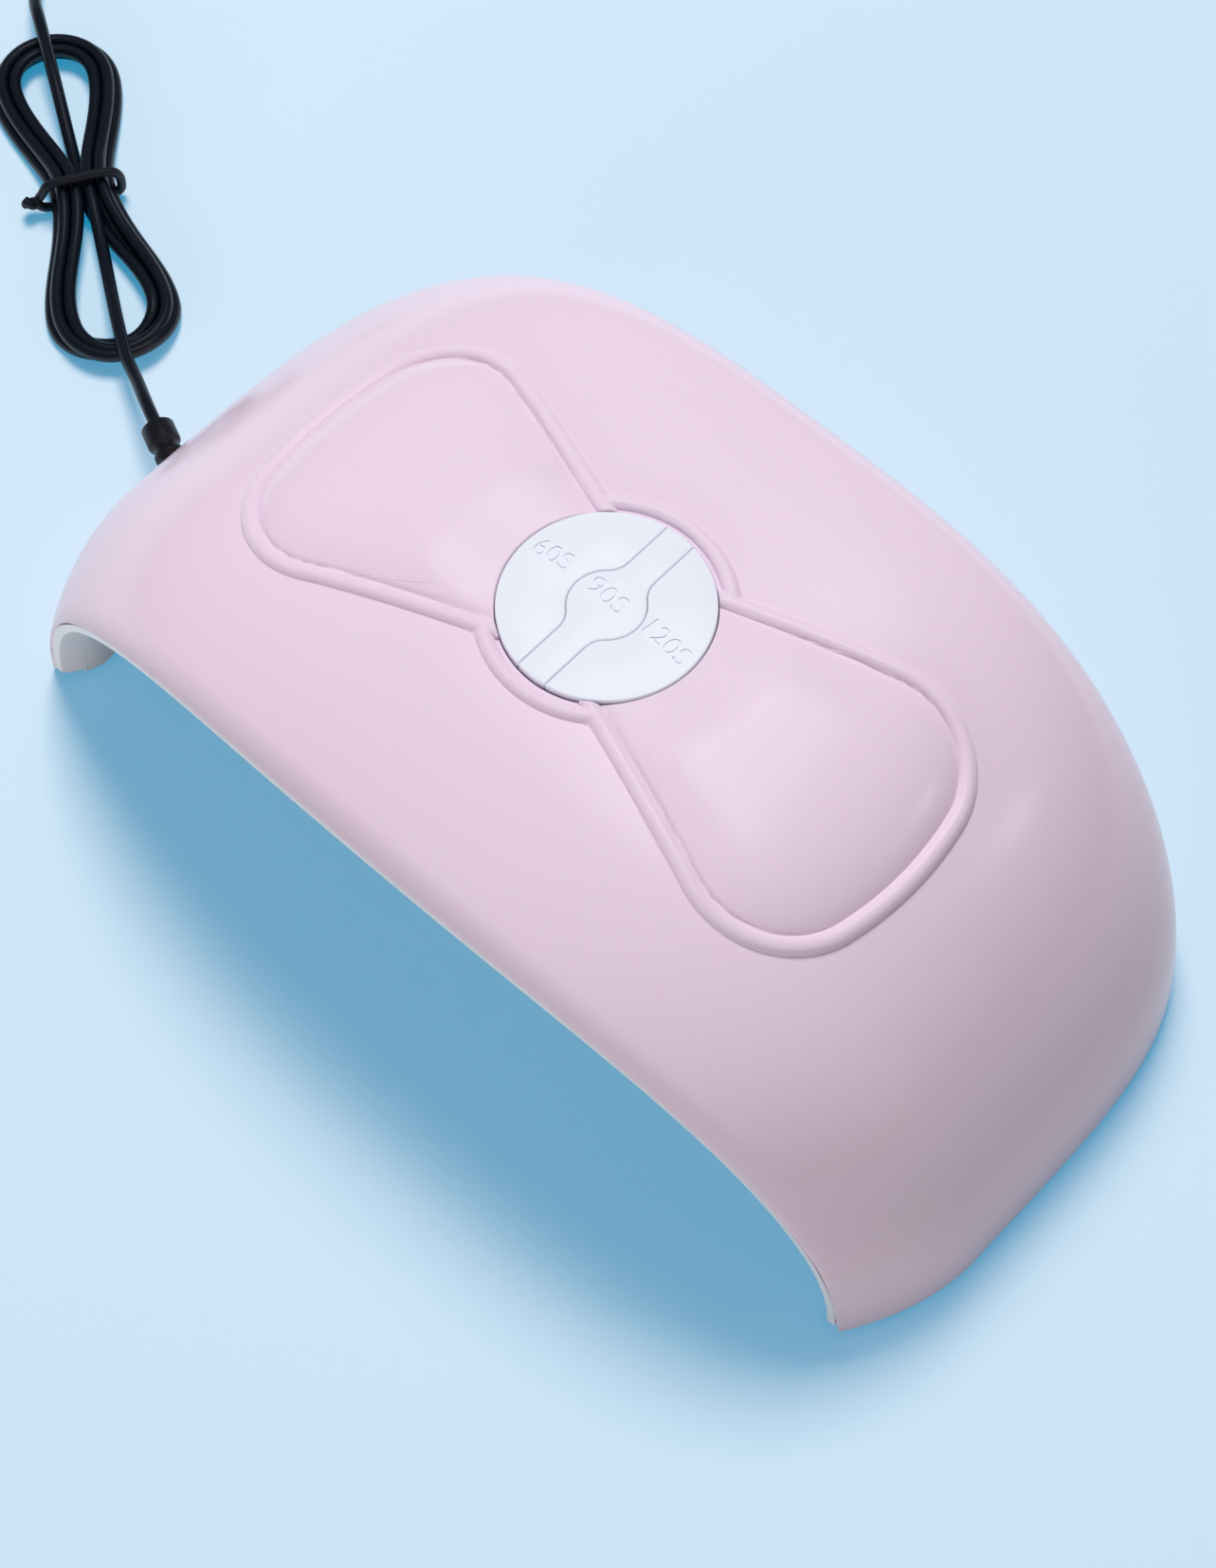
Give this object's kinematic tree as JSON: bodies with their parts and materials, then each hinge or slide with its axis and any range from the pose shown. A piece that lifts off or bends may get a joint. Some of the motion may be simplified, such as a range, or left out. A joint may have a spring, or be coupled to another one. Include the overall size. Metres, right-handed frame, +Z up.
{
  "type": "uv led nail lamp",
  "caption": "Bridge-shaped nail lamp: glossy shell with a bow relief over a white liner with lamps, three timer buttons in a round disc, captive power lead.",
  "frame": {"origin": "on the table under the middle of the lamp's bounding box, measured without the lead", "axes": "+X across the width (the lead leaves at -X), -Y is the open front where the hand goes in, +Z up"},
  "size_m": [0.3717, 0.1902, 0.0752],
  "materials": {
    "pink_abs": "gloss",
    "white_abs": "gloss",
    "white_button": "satin",
    "circuit_board": "satin",
    "black_plastic": "matte",
    "cream_ceramic": "satin",
    "capacitor_sleeve": "gloss",
    "lamp_epoxy": "gloss",
    "screw_steel": "satin",
    "red_wire": "satin",
    "black_pvc": "satin",
    "pad_rubber": "matte",
    "plug_steel": "satin",
    "contact_gold": "gloss"
  },
  "bodies": {
    "lamp": {"top_shell": "pink_abs", "inner_liner": "white_abs", "control_board": "circuit_board", "switch_bodies": "black_plastic", "controller_chip": "black_plastic", "capacitor": "capacitor_sleeve", "board_parts": "cream_ceramic", "wire_sockets": "white_abs", "board_screws": "screw_steel", "led_board_1": "circuit_board", "led_board_2": "circuit_board", "led_board_3": "circuit_board", "led_board_4": "circuit_board", "led_board_5": "circuit_board", "led_board_6": "circuit_board", "led_beads_1": "lamp_epoxy", "led_beads_2": "lamp_epoxy", "led_beads_3": "lamp_epoxy", "led_beads_4": "lamp_epoxy", "led_beads_5": "lamp_epoxy", "led_beads_6": "lamp_epoxy", "led_wires": "red_wire", "power_wires": "black_pvc", "housing_screws": "screw_steel", "foot_pad_front_left": "pad_rubber", "foot_pad_front_right": "pad_rubber", "foot_pad_back_left": "pad_rubber", "foot_pad_back_right": "pad_rubber", "strain_relief": "black_pvc", "cord_lead": "black_pvc", "cord_hank": "black_pvc", "cord_tie": "black_plastic", "cord_tail": "black_pvc", "plug_body": "black_pvc", "plug_shell": "plug_steel", "plug_tongue": "white_abs", "plug_contacts": "contact_gold"},
    "button_60_body": {"button_60": "white_button", "plunger_60": "white_button"},
    "button_90_body": {"button_90": "white_button", "plunger_90": "white_button"},
    "button_120_body": {"button_120": "white_button", "plunger_120": "white_button"}
  },
  "joints": [
    {"name": "button_60_press", "type": "slide", "parent": "lamp", "child": "button_60_body", "axis": [0, 0, -1], "range_m": [0, 0.0005], "stiffness_N_per_m": 800, "springref_m": -0.0003},
    {"name": "button_90_press", "type": "slide", "parent": "lamp", "child": "button_90_body", "axis": [0, 0, -1], "range_m": [0, 0.0005], "stiffness_N_per_m": 800, "springref_m": -0.0003},
    {"name": "button_120_press", "type": "slide", "parent": "lamp", "child": "button_120_body", "axis": [0, 0, -1], "range_m": [0, 0.0005], "stiffness_N_per_m": 800, "springref_m": -0.0003}
  ]
}
